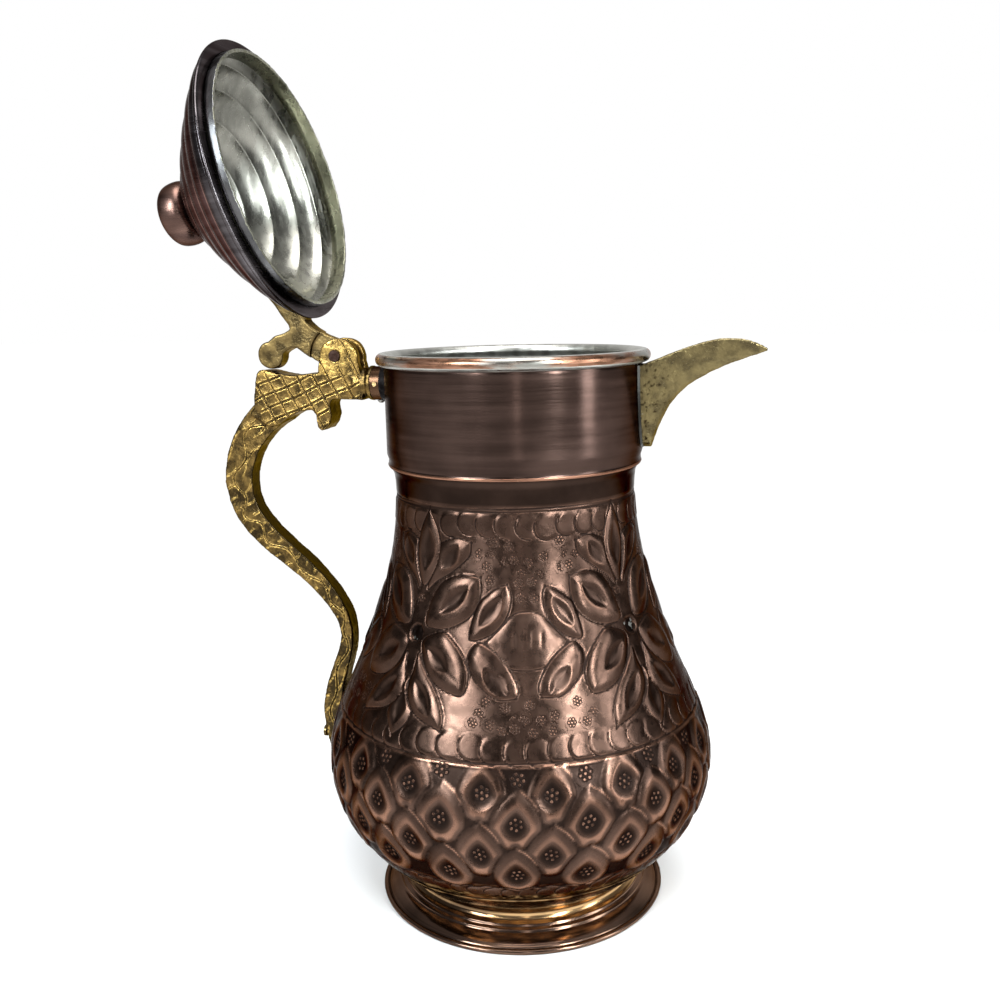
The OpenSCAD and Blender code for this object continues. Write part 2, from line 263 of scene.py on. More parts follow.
class Shade(Nodes):
    """One material round a Principled shader. Texture coordinates are in mm."""

    def __init__(self, name, edge_tint=(1, 1, 1, 1), metallic=1.0):
        self.material = bpy.data.materials.new(name)
        self.material.use_nodes = True
        super().__init__(self.material.node_tree)
        self.bsdf = self.node("BsdfPrincipled", {"Metallic": metallic, "Specular Tint": edge_tint})
        place = self.node("TexCoord", {}).outputs["Object"]
        self.coords = self.node("VectorMath", {0: place, "Scale": 1 / MM}, operation="SCALE").outputs[0]
        self.height = self.node("SeparateXYZ", {0: self.coords}).outputs[2]

    def noise(self, scale, detail=3.0, stretch=None):
        """Noise whose grain is 1 / scale mm; stretch scales the coordinates first."""
        coords = self.coords
        if stretch is not None:
            coords = self.node("Mapping", {"Vector": coords, "Scale": stretch}).outputs[0]
        return self.node("TexNoise", {"Vector": coords, "Scale": scale, "Detail": detail}).outputs[0]

    def read(self, name, output="Fac"):
        return self.node("Attribute", {}, attribute_name=name).outputs[output]

    def bump(self, height, depth, below=None):
        """Bump by height (0 to 1) of depth mm."""
        inputs = {"Height": height, "Strength": 1.0, "Distance": depth * MM}
        if below is not None:
            inputs["Normal"] = below
        return self.node("Bump", inputs).outputs[0]

    def done(self, colour, roughness, normal=None):
        self.put(self.bsdf.inputs["Base Color"], colour)
        self.put(self.bsdf.inputs["Roughness"], roughness)
        if normal is not None:
            self.put(self.bsdf.inputs["Normal"], normal)
        self.node("OutputMaterial", {0: self.bsdf.outputs[0]})
        return self.material


def rgb(r, g, b):
    return (r, g, b, 1.0)


EDGE_TINT = rgb(0.38, 0.36, 0.35)    # how far dark copper whitens at a glancing view
BRASS_TINT = rgb(0.75, 0.6, 0.38)
BRONZE = rgb(0.52, 0.32, 0.15)
BRONZE_DARK = rgb(0.075, 0.046, 0.03)
COPPER_DEEP = rgb(0.013, 0.0085, 0.0072)
# near-black for soot, also used for painted shade
SOOT_AND_SHADE = rgb(0.008, 0.0055, 0.0047)
COPPER_DARK = rgb(0.046, 0.0265, 0.0195)
COPPER_MID = rgb(0.088, 0.0515, 0.038)
# rubbed copper, also used for painted highlights
COPPER_WORN_AND_GLINT = rgb(0.31, 0.162, 0.108)
BURR = rgb(0.25, 0.12, 0.08), rgb(0.45, 0.22, 0.14)
NECK_LINE_Z = 169.0               # where the ornament ends and the plain neck begins
DOTS = 6                          # dots round a rosette
DOT_RING = 1.25                   # radius of their ring


def rosette(g):
    """Punched ring of six dots round one dot, from the distance to the nearest punch."""
    place = g.node("SeparateXYZ", {0: g.read("stamp", "Vector")}).outputs
    radius = g.distance(place[0], place[1])
    turn = g.plus(g.math("ARCTAN2", place[1], place[0]), place[2])
    part = g.math("FRACT", g.times(turn, DOTS / (2 * math.pi)))
    along = g.times(g.less(part, 0.5), 2 * math.pi / DOTS * DOT_RING)
    return g.math("MINIMUM", g.distance(along, g.less(radius, DOT_RING)), radius)


def copper_body():
    """Oxidised copper: sooty where it is sunk or engraved, brighter where it is rubbed; painted shade and
    painted highlights are laid in the same way.
    """
    g = Shade("copper_body", EDGE_TINT)
    line = g.read("line")
    wear_and_painted_light = g.read("wear_and_painted_light")
    smudge = g.noise(0.16, 5.0)
    tone = g.mix(g.fade(g.noise(0.05, 4.0), 0.35, 0.68), COPPER_DARK, COPPER_MID)
    # Positive values are rubbed bright copper, and also painted highlights on the scales and petals.
    rub_and_highlight = g.times(g.fade(wear_and_painted_light, 0.0, 1.0), g.fade(smudge, 0.25, 0.65, 0.6, 1.0))
    tone = g.mix(rub_and_highlight, tone, COPPER_WORN_AND_GLINT)
    # Negative values go to soot, and also to painted shade on the neck and round the scales.
    soot_and_shade = g.fade(wear_and_painted_light, 0.0, -1.0)
    tone = g.mix(g.times(soot_and_shade, 0.95), tone, SOOT_AND_SHADE)
    # The bowl's foot, below the scales, is bronze coloured.
    low = g.fade(g.height, 30.0, 28.0)
    tone = g.mix(low, tone, g.mix(g.fade(smudge, 0.35, 0.65), BRONZE_DARK, BRONZE))
    # Engraved lines are dark, with a rubbed edge.
    cut = g.fade(line, 0.40, 0.15)
    edge = g.times(g.fade(line, 0.34, 0.46), g.fade(line, 0.8, 0.5))
    edge = g.times(edge, g.fade(smudge, 0.4, 0.6, 0.0, 0.2))
    tone = g.mix(edge, tone, COPPER_WORN_AND_GLINT)
    # Each dot of a rosette is rubbed, and dark round it.
    spot = rosette(g)
    dots = g.fade(spot, 0.42, 0.25)
    halo = g.times(g.fade(spot, 0.75, 0.5), g.fade(spot, 0.3, 0.42))
    tone = g.mix(g.times(dots, g.fade(g.noise(0.5), 0.4, 0.6, 0.1, 0.45)), tone, COPPER_WORN_AND_GLINT)
    dark = g.math("MAXIMUM", g.times(cut, 0.85), g.times(halo, 0.7))
    tone = g.mix(dark, tone, COPPER_DEEP)
    rough = g.fade(g.noise(0.25, 5.0), 0.3, 0.75, 0.22, 0.36)
    rough = g.plus(rough, g.times(dark, 0.24))
    rough = g.plus(rough, g.times(soot_and_shade, 0.1))
    plain_neck = g.fade(g.height, NECK_LINE_Z - 0.5, NECK_LINE_Z + 0.5, 0.0, 0.16)
    rough = g.less(rough, g.math("MAXIMUM", g.times(low, 0.12), plain_neck))
    marks = g.bump(g.noise(0.5, 3.0), 0.035)
    sunk = g.bump(g.fade(line, 0.5, 0.1), -0.12, marks)
    return g.done(tone, rough, g.bump(g.less(dots, g.times(halo, 0.6)), 0.11, sunk))


def copper_turned(name, tones, rough_low=0.16, rough_high=0.32, lines=0.02):
    """Copper or brass sheet, between two tones, with fine turning lines round it."""
    g = Shade(name, EDGE_TINT)
    fine = g.noise(1.0, 2.0, (0.03, 0.03, 3.2))
    broad = g.noise(0.03, 4.0)
    rings = g.noise(0.35, 3.0, (0.05, 0.05, 1.0))
    cloud = g.plus(g.times(broad, 0.6), g.times(rings, 0.4))
    tone = g.mix(g.fade(cloud, 0.38, 0.66), *tones)
    satin = g.plus(g.times(fine, 0.5), g.times(broad, 0.5))
    rough = g.fade(satin, 0.35, 0.65, rough_low, rough_high)
    return g.done(tone, rough, g.bump(g.plus(fine, g.times(rings, 0.8)), lines))


def tin(name, low, high, blue, wiped=0.02, rough_low=0.2):
    """Wiped tin between two greys, with wiping streaks; the less blue, the yellower."""
    g = Shade(name)
    wipe = g.noise(0.25, 4.0, (1.0, 1.0, 0.35))
    cloud = g.noise(0.06, 5.0)
    tone = g.mix(g.fade(cloud, 0.3, 0.7), rgb(low, low * 0.99, low * blue),
                 rgb(high, high * 0.98, high * blue))
    rough = g.fade(wipe, 0.3, 0.7, rough_low, rough_low + 0.16)
    return g.done(tone, rough, g.bump(wipe, wiped))


def tinned_bead():
    """The rim's front crest: copper where the tin has worn through, grey elsewhere."""
    g = Shade("bead_worn")
    patch = g.noise(0.022, 3.0)
    fine = g.noise(0.6, 4.0, (0.2, 0.2, 1.0))
    mixed = g.plus(patch, g.times(g.less(fine, 0.5), 0.3))
    copper = g.mix(g.fade(fine, 0.3, 0.7), rgb(0.17, 0.085, 0.05), rgb(0.38, 0.19, 0.12))
    tone = g.mix(g.fade(mixed, 0.47, 0.6), copper, rgb(0.30, 0.29, 0.26))
    return g.done(tone, g.fade(fine, 0.3, 0.7, 0.22, 0.36), g.bump(fine, 0.03))


def brass(name, bright, dull, gleam, grain=0.12, specks=0.9):
    """Cast brass: golden where rubbed, olive-brown patina in what is sunk, grainy skin."""
    g = Shade(name, BRASS_TINT)
    relief = g.read("relief")
    line = g.read("line")
    grit = g.noise(1.1, 4.0)
    cloud = g.noise(0.2, 5.0)
    level = g.plus(relief, g.times(g.less(grit, 0.5), specks))
    tone = g.mix(g.fade(cloud, 0.36, 0.62), dull, bright)
    tone = g.mix(g.fade(level, 0.25, 0.75), tone, gleam)
    tone = g.mix(g.fade(level, -0.1, -0.6), tone, rgb(0.035, 0.024, 0.011))
    ridge = g.times(g.fade(line, 0.3, 0.5), g.fade(line, 1.1, 0.6))
    tone = g.mix(g.times(ridge, g.fade(grit, 0.35, 0.6, 0.1, 0.8)), tone, gleam)
    tone = g.mix(g.times(g.fade(line, 0.4, 0.12), 0.8), tone, rgb(0.05, 0.033, 0.014))
    rough = g.fade(cloud, 0.25, 0.75, 0.24, 0.4)
    pits = g.bump(g.noise(0.9, 3.0), grain)
    fine = g.bump(grit, grain * 0.5, pits)
    return g.done(tone, rough, g.bump(g.less(ridge, g.fade(line, 0.4, 0.1)), 0.14, fine))


def dark_solid(name, colour, rough=0.4):
    """Blackened metal or old solder, slightly mottled."""
    g = Shade(name)
    cloud = g.noise(0.5, 4.0)
    light = rgb(*[min(1.0, c * 2.2 + 0.01) for c in colour[:3]])
    tone = g.mix(g.fade(cloud, 0.4, 0.75), colour, light)
    return g.done(tone, g.fade(cloud, 0.3, 0.7, rough, rough + 0.2), g.bump(cloud, 0.15))


# ------------------------ body shell
bowl_curve = [[36, FLOOR_Z], [50, FLOOR_Z + 2.3], [BELLY_R, 32], [BELLY_R, 60]]
upper_curve = [[BELLY_R, 60], [BELLY_R, 86], [NECK_R + 0.9, 118], [NECK_R, 170]]
neck_top = [[NECK_R + 0.15, 173], [NECK_R + 0.5, 176], [LAP_R, LAP_Z - 0.4], [LAP_R, SHELL_TOP]]
wall_line = joined(bezier(bowl_curve, 120), bezier(upper_curve, 160)[1:], neck_top)
wall_run = lengths_along(wall_line)    # arc length up the wall from its lowest point

ORNAMENT = (24.0, NECK_LINE_Z)    # heights between which the sheet is chased
COLUMNS = 720
FINE = 0.62                       # mm between rows in the ornament
FLOWERS = [-118 + 90 * k for k in range(4)]    # azimuths of the flowers' axes
FLOWER_Z = 121.0
BOSS_Z = 122.5                    # middle of the boss between two flowers
# Half a flower: outlines in degrees from its axis and mm of height, lowest layer first.
# Each has its slit (two ends) and its height.
LEAVES = [
    ("down", [(0, 86.5), (0, 86.5), (4.4, 92), (5, 98), (3, 104), (0, 107), (-3, 104), (-5, 98),
              (-4.4, 92)], [(0, 92), (0, 101)], 0.7),
    ("outer_up", [(24, 124), (26, 134), (30, 138), (34, 140.5), (37.5, 141.5), (37.5, 141.5), (39, 138),
                  (38.5, 133), (36, 128), (32, 124.3), (26, 122)], [(29, 128.5), (34, 135.5)], 0.9),
    ("outer_down", [(28, 121.5), (24.5, 117), (26, 111), (30, 106.5), (35, 103.5), (41, 104), (41, 104),
                    (42, 106.5), (41, 110), (38, 115), (33, 119.5)], [(32, 112), (37, 106)], 0.9),
    ("steep_down", [(2, 109), (0.8, 103), (3, 98), (8, 94), (17, 90.6), (17, 90.6), (17.4, 95), (15.5, 100),
                    (12, 105), (6, 111), (3, 115)], [(5.5, 104.5), (11.5, 96.5)], 1.0),
    ("broad_down", [(4, 119), (9, 122), (14, 123), (19, 120), (23, 116), (25.3, 110), (23.5, 103.5),
                    (18, 103.3), (12, 105.5), (8, 109), (5, 114)], [(9, 116), (16, 111)], 1.05),
    ("broad_up", [(4, 125), (4.5, 132), (8, 139.5), (14, 143.3), (21, 144.2), (26.2, 143.5), (26.2, 143.5),
                  (26.8, 138), (25, 132), (21, 128), (15, 124.8), (9, 123.6)],
     [(12, 131), (19.8, 138.8)], 1.1),
    ("slant_up", [(2, 137), (2.6, 146), (5, 153), (9, 155.8), (15, 157), (21.5, 155.6), (21.5, 155.6),
                  (21, 151.5), (18, 148.4), (12, 144.2), (6, 140.5)], [(9, 147), (14, 153)], 0.85),
    ("top", [(0, 167), (0, 167), (4.6, 160), (6.4, 153), (4.6, 145), (0, 138), (-4.6, 145), (-6.4, 153),
             (-4.6, 160)], [(0, 146), (0, 158)], 0.8),
]
HOLLOW = 3.1                      # half width of a petal's hollow, mm
BELLY_LINE_Z = 82.7               # line between the scales and the flowers
SCALES_LOW_Z = 36                 # lowest edge of the sooty ground between the scales
# The belly's scales, row by row: height, turn, strength. The weak top row is only its rosettes.
CELL_ROWS = [(78.5, 0.0, 0.35), (72.5, 10.0, 1.0), (62.5, 0.0, 1.0), (51.0, 10.0, 1.0), (41.0, 0.0, 0.9)]
CELLS_ROUND = 18
CELL_START = -118.0
# Rows of overlapping coins: number, azimuth of the first, height, radius, rise, side that is seen.
SCALLOPS = (64, -120, 31.0, 3.1, 0.2, -0.8)
LOWER_COINS = (55, -150, 86.9, 5.0, 0.3, 0.55)
UPPER_COINS = (41, -150, 162.2, 4.6, 0.3, 0.75)
PUNCH_ROWS = [155.5, 151, 146.5, 142, 137.5, 133.5, 107, 102.5, 98, 94, 90.9]
PUNCH_PITCH = 5.2                 # degrees
STROKES = 4                       # strokes across a boss
STROKE_PITCH = 3.1                # mm
PLAIN = 9.0                       # value of "line" and "stamp" where nothing is cut


def wall_r(z):
    return np.interp(z, wall_line[:, 1], wall_line[:, 0])


def wall_s(z):
    return np.interp(z, wall_line[:, 1], wall_run)


def closed_curve(points, n=6):
    """Smooth closed line through points; a point given twice is a sharp tip."""
    p = np.asarray(points, float)
    a, b, c, d = np.roll(p, 1, 0), p, np.roll(p, -1, 0), np.roll(p, -2, 0)
    made = []
    for t in np.arange(n) / n:
        made.append(0.5 * (2 * b + (c - a) * t + (2 * a - 5 * b + 4 * c - d) * t * t
                           + (3 * b - a - 3 * c + d) * t ** 3))
    return np.stack(made, 1).reshape(-1, 2)


def to_segment(x, y, a, b):
    """Distance from points to the segment a-b."""
    dx, dy = b[0] - a[0], b[1] - a[1]
    length = dx * dx + dy * dy
    if length < 1e-9:
        return np.hypot(x - a[0], y - a[1])
    t = np.clip(((x - a[0]) * dx + (y - a[1]) * dy) / length, 0, 1)
    return np.hypot(x - a[0] - t * dx, y - a[1] - t * dy)


def inside_depth(x, y, line):
    """Distance to a closed line: positive inside it, negative outside."""
    nearest = np.full(x.shape, 1e9)
    odd = np.zeros(x.shape, bool)
    for a, b in zip(line, np.roll(line, -1, 0)):
        nearest = np.minimum(nearest, to_segment(x, y, a, b))
        if a[1] != b[1]:
            crosses = ((a[1] > y) != (b[1] > y)) & (
                x < (b[0] - a[0]) * (y - a[1]) / (b[1] - a[1]) + a[0])
            odd ^= crosses
    return np.where(odd, nearest, -nearest)


class Chasing:
    """The relief worked into the sheet, on a grid of azimuth (degrees) and height (mm).

    height is the relief in mm, line the distance to the nearest cut, wear goes from -1 (sooty, and
    painted shade) to 1 (rubbed, and painted highlights), stamp holds the nearest rosette's own coordinates,
    free marks plain ground.
    """

    def __init__(self, azimuth, z):
        self.a, self.z = np.meshgrid(azimuth, z)
        self.r = wall_r(self.z)
        self.height = np.zeros(self.a.shape)
        self.line = np.full(self.a.shape, PLAIN)
        self.wear_and_painted_light = np.zeros(self.a.shape)
        self.stamp = np.full(self.a.shape + (3,), PLAIN)
        self.free = np.ones(self.a.shape, bool)
        self.rng = np.random.default_rng(7)
        turn = np.radians(self.a)
        self.sway_a = 0.5 * np.sin(3 * turn + self.z * 0.11) + 0.35 * np.sin(7 * turn - self.z * 0.05)
        self.sway_z = 0.5 * np.sin(5 * turn + 1.3) + 0.3 * np.sin(9 * turn + self.z * 0.08)

    def near(self, azimuth, z_low, z_high, half):
        """The part of the grid round an azimuth, with its local coordinates in mm."""
        rows = np.where((self.z[:, 0] >= z_low) & (self.z[:, 0] <= z_high))[0]
        turn = (self.a[0] - azimuth + 180) % 360 - 180
        columns = np.where(np.abs(turn) <= half)[0]
        box = np.ix_(rows, columns)
        turn = (self.a[box] + self.sway_a[box] - azimuth + 180) % 360 - 180
        return box, np.radians(turn) * self.r[box], wall_s(self.z[box] + self.sway_z[box])

    def local(self, points):
        """Points given as (degrees from the centre, z) in local mm."""
        p = np.asarray(points, float)
        return np.stack([np.radians(p[:, 0]) * wall_r(p[:, 1]), wall_s(p[:, 1])], -1)

    def raise_shape(self, box, depth, height, width, wear_and_painted_light):
        """Lays a low pillow over the grid, with a cut line round it."""
        inside = depth > 0
        rise = unit(depth / width)
        pillow = rise * (2 - rise)
        dip = 0.05 * bell(np.minimum(depth, 0), 1.2)
        self.height[box] = np.where(inside, height * pillow, self.height[box] - dip)
        self.wear_and_painted_light[box] = np.where(inside, wear_and_painted_light * pillow, self.wear_and_painted_light[box])
        self.line[box] = np.where(inside, depth, np.minimum(self.line[box], -depth))
        self.free[box] &= ~(depth > -1.7)
        return inside

    def leaf(self, azimuth, mirror, outline, slit, height):
        """A petal: a low pillow with a soft almond-shaped hollow along its middle."""
        line = self.local(closed_curve([(mirror * a, z) for a, z in outline]))
        zs = [z for _, z in outline]
        reach = max(abs(a) for a, _ in outline) + 8
        box, x, y = self.near(azimuth, min(zs) - 6, max(zs) + 6, reach)
        inside = self.raise_shape(box, inside_depth(x, y, line), height, 4.4, 0.1)
        ends = self.local([(mirror * a, z) for a, z in slit])
        middle, along = (ends[0] + ends[1]) / 2, ends[1] - ends[0]
        half = np.linalg.norm(along) / 2
        along = along / (2 * half)
        u = ((x - middle[0]) * along[0] + (y - middle[1]) * along[1]) / (half + 2.2)
        v = ((y - middle[1]) * along[0] - (x - middle[0]) * along[1]) / HOLLOW
        almond = unit(1 - u * u) - np.abs(v)
        level = unit(almond + 0.22)
        sink = level * level * (3 - 2 * level)
        # A lip along one side of the hollow only, raised a little and painted bright: a painted highlight.
        lip_and_highlight = bell(almond + 0.12, 0.2) * (np.abs(u) < 1) * (v * mirror < 0)
        tilt = 0.16 * mirror * v
        self.height[box] += np.where(inside, 0.06 * lip_and_highlight - 0.7 * height * sink + tilt * height, 0)
        self.wear_and_painted_light[box] = np.where(inside, self.wear_and_painted_light[box] + 0.3 * lip_and_highlight - 0.55 * sink, self.wear_and_painted_light[box])

    def coin(self, azimuth, z, radius, height, seen):
        """A flat disc laid over the one before it; seen turns its cut side up or down."""
        box, x, y = self.near(azimuth, z - radius - 3, z + radius + 3, math.degrees(radius / 40) + 4)
        depth = radius - np.hypot(x, y - wall_s(z))
        before = self.line[box].copy()
        inside = self.raise_shape(box, depth, height, 1.0, 0.0)
        self.height[box] *= np.where(inside, 0.6 - 0.4 * x / radius, 1)
        open_side = unit((x + seen * (y - wall_s(z))) / radius + 0.55) * 3
        hidden = np.where(inside, PLAIN, before)
        self.line[box] = np.minimum(self.line[box] + open_side, hidden)

    def coins(self, row, drift=0.0, z_drift=0.0):
        """A row of coins all round, each a little out of its place."""
        number, start, z, radius, height, seen = row
        for k in range(number):
            azimuth, level = start + k * 360 / number, z
            if drift:
                azimuth += self.rng.uniform(-drift, drift)
                level += self.rng.uniform(-z_drift, z_drift)
            self.coin(azimuth, level, radius, height, seen)

    def punch(self, azimuth, z, size=1.0, sink=0.05):
        """A rosette punch: a shallow dish, and its own coordinates for the dots."""
        box, x, y = self.near(azimuth, z - 6, z + 6, 9)
        y = y - wall_s(z)
        away = np.hypot(x, y) / size
        self.height[box] -= sink * np.exp(-(away / 1.9) ** 4)
        spin = np.full(x.shape, self.rng.uniform(0, 6.28))
        here = np.stack([x / size, y / size, spin], -1)
        self.stamp[box] = np.where((away < 3.2)[..., None], here, self.stamp[box])

    def cell(self, azimuth, z, strength):
        """One scale of the belly: pointed top, soft raised rim, sunk middle."""
        outline = [(0, z + 12.5), (0, z + 12.5), (4.2, z + 8.4), (6.7, z + 2), (6.5, z - 3.5), (3.9, z - 8),
                   (0, z - 10), (-3.9, z - 8), (-6.5, z - 3.5), (-6.7, z + 2), (-4.2, z + 8.4)]
        line = self.local(closed_curve(outline))
        box, x, y = self.near(azimuth, z - 16, min(z + 16, BELLY_LINE_Z - 0.3), 16)
        depth = inside_depth(x, y, line)
        rise = unit(depth / 2.2)
        inside = depth > 0
        self.height[box] = np.where(inside, 0.34 * strength * rise * (2 - rise), self.height[box])
        # Just outside its outline the ground is darkened: a painted shadow of the raised scale.
        shadow = unit(1 + depth / 2.4)
        self.wear_and_painted_light[box] = np.where(inside, -0.6, np.minimum(self.wear_and_painted_light[box], 0.6 - 1.45 * shadow))
        self.line[box] = np.where(inside, PLAIN, self.line[box])
        # The raised rim is a drop: pointed above, round below, steeper on its inner side.
        y = y - wall_s(z)
        u = np.abs(x) / 8.8
        v = (y + 0.6) / np.where(y > -0.6, 11.5, 9.0)
        power = np.where(v > 0, 1.3, 1.8)
        level = (u ** power + np.abs(v) ** power) ** (1 / power)
        rim = bell(level - 0.68, np.where(level < 0.68, 0.17, 0.32)) * strength * unit(depth / 0.9)
        dish = np.exp(-(np.hypot(x, y / 1.12) / 4.4) ** 2.8) * strength
        # A short raised arc on the upper right of the outline, painted bright: a painted glint.
        glint_arc = bell(depth, 0.35) * unit((y - 5) / 2) * unit(x - 0.3)
        self.height[box] += 0.4 * rim - 0.3 * dish + 0.2 * glint_arc
        # The rim is rubbed bright, and brighter still on its lower part: a painted highlight.
        worn_and_lit = self.wear_and_painted_light[box] + (1.05 + 0.35 * unit((2 - y) / 8)) * rim - 0.3 * dish
        self.wear_and_painted_light[box] = np.clip(np.where(glint_arc > 0.05, np.maximum(worn_and_lit, 0.9 * glint_arc), worn_and_lit), -1, 1)

    def ring_line(self, z, cut=0.3, wave=0.0):
        """A line cut all round."""
        turn = np.radians(self.a)
        away = np.abs(self.z - z - wave * np.sin(turn * 57) - 0.25 * np.sin(turn * 4))
        self.line = np.minimum(self.line, away)
        self.height -= cut * bell(away, 0.7)

    def clear_between(self, low, high):
        """Wipes what has been drawn between two heights."""
        over = (self.z > low) & (self.z < high)
        self.height[over] = 0
        self.wear_and_painted_light[over] = 0
        self.line[over] = PLAIN


def chase(grid):
    """All the ornament, in the order in which each lies over the one before."""
    grid.wear_and_painted_light[(grid.z < BELLY_LINE_Z) & (grid.z > SCALES_LOW_Z)] = -0.72
    # The plain neck under the collar's lap is set dark: painted shade.
    grid.wear_and_painted_light[grid.z > NECK_LINE_Z] = -0.6
    scales(grid)
    grid.coins(SCALLOPS)
    grid.clear_between(BELLY_LINE_Z, NECK_LINE_Z)
    grid.ring_line(25.0, 0.12)
    grid.ring_line(34.0, 0.2, 0.5)
    grid.coins(LOWER_COINS, 0.3, 0.4)
    grid.coins(UPPER_COINS, 0.6, 0.5)
    for centre in FLOWERS:
        boss(grid, centre + 45)
    for name, outline, slit, height in LEAVES:
        for centre in FLOWERS:
            grid.leaf(centre, 1, outline, slit, height)
            if name not in ("top", "down"):
                grid.leaf(centre, -1, outline, slit, height)
    for centre in FLOWERS:
        heart(grid, centre)
    grid.ring_line(BELLY_LINE_Z, 0.25)
    ridge = bell(grid.z - (BELLY_LINE_Z - 0.9), 0.45)
    grid.height += 0.24 * ridge
    grid.wear_and_painted_light = np.where(ridge > 0.05, np.maximum(grid.wear_and_painted_light, 0.6 * ridge), grid.wear_and_painted_light)
    grid.ring_line(167.1, 0.12)
    grid.ring_line(168.2, 0.1)
    scatter(grid)
    grid.height -= 0.09 * bell(grid.line, 0.5)


def scales(grid):
    """Rows of scales, each with a rosette in its middle."""
    for z, offset, strength in CELL_ROWS:
        for k in range(CELLS_ROUND):
            spot = CELL_START + offset + k * 360 / CELLS_ROUND + grid.rng.uniform(-0.7, 0.7)
            rise = grid.rng.uniform(-0.7, 0.7)
            if strength > 0.5:
                grid.cell(spot, z + rise, strength)
            grid.punch(spot + grid.rng.uniform(-0.5, 0.5), z + rise, 1.6, 0.1)


def boss(grid, azimuth):
    """Domed boss between two flowers, in an eye-shaped field, with four short strokes."""
    eye = [(-14.5, 121.8), (-14.5, 121.8), (-9, 127.5), (-4, 131.8), (4, 131.8), (9, 127.5), (14.5, 121.8),
           (14.5, 121.8), (10, 117), (5, 113.2), (-5, 113.2), (-10, 117)]
    box, x, y = grid.near(azimuth, 105, 140, 20)
    depth = inside_depth(x, y, grid.local(closed_curve(eye)))
    grid.raise_shape(box, depth, 0.3, 3.0, 0.1)
    y = y - wall_s(BOSS_Z)
    dome = unit(1 - np.hypot(x / 10.5, y / 9.6) ** 2)
    grid.height[box] += 0.5 * dome * (depth > 0)
    grid.wear_and_painted_light[box] -= 0.3 * unit(dome * 4) * (depth > 0)
    for k in range(STROKES):
        at = (k - (STROKES - 1) / 2) * STROKE_PITCH
        mark = bell(to_segment(x, y, (at, -2.2), (at, 2.6)), 0.6)
        grid.height[box] -= 0.12 * mark
        grid.wear_and_painted_light[box] += 0.25 * mark


def heart(grid, azimuth):
    """The flower's dark pitted middle."""
    box, x, y = grid.near(azimuth, FLOWER_Z - 6, FLOWER_Z + 6, 7)
    y = y - wall_s(FLOWER_Z)
    away = np.hypot(x, y)
    grid.height[box] = np.where(away < 3.4, -0.6, grid.height[box])
    grid.wear_and_painted_light[box] = np.where(away < 3.4, -0.9, grid.wear_and_painted_light[box])
    grid.line[box] = np.where(away < 3.6, np.abs(away - 3.1) + 0.1, grid.line[box])
    for _ in range(12):
        px, py = grid.rng.uniform(-2.3, 2.3, 2)
        grid.height[box] -= 0.3 * bell(np.hypot(x - px, y - py), 0.6)


def scatter(grid):
    """Rosette punches over the plain ground above and below the bosses."""
    for i, z in enumerate(PUNCH_ROWS):
        for k in range(int(360 / PUNCH_PITCH)):
            azimuth = (k + (i % 2) / 2) * PUNCH_PITCH + grid.rng.uniform(-1.6, 1.6)
            height = z + grid.rng.uniform(-1.2, 1.2)
            row = np.argmin(np.abs(grid.z[:, 0] - height))
            column = int(((azimuth - grid.a[0, 0]) % 360) / 360 * grid.a.shape[1]) % grid.a.shape[1]
            if grid.free[row, column] and grid.rng.random() < 0.86:
                grid.punch(azimuth, height)


def body_rows():
    """Heights of the outer rows: fine in the ornament, coarse where the wall is plain."""
    low, high = wall_s(ORNAMENT[0]), wall_s(ORNAMENT[1])
    fine = np.linspace(low, high, int((high - low) / FINE))
    below = np.linspace(0, low, 24)[:-1]
    above = np.linspace(high, wall_run[-1], 22)[1:]
    return np.concatenate([below, fine, above])


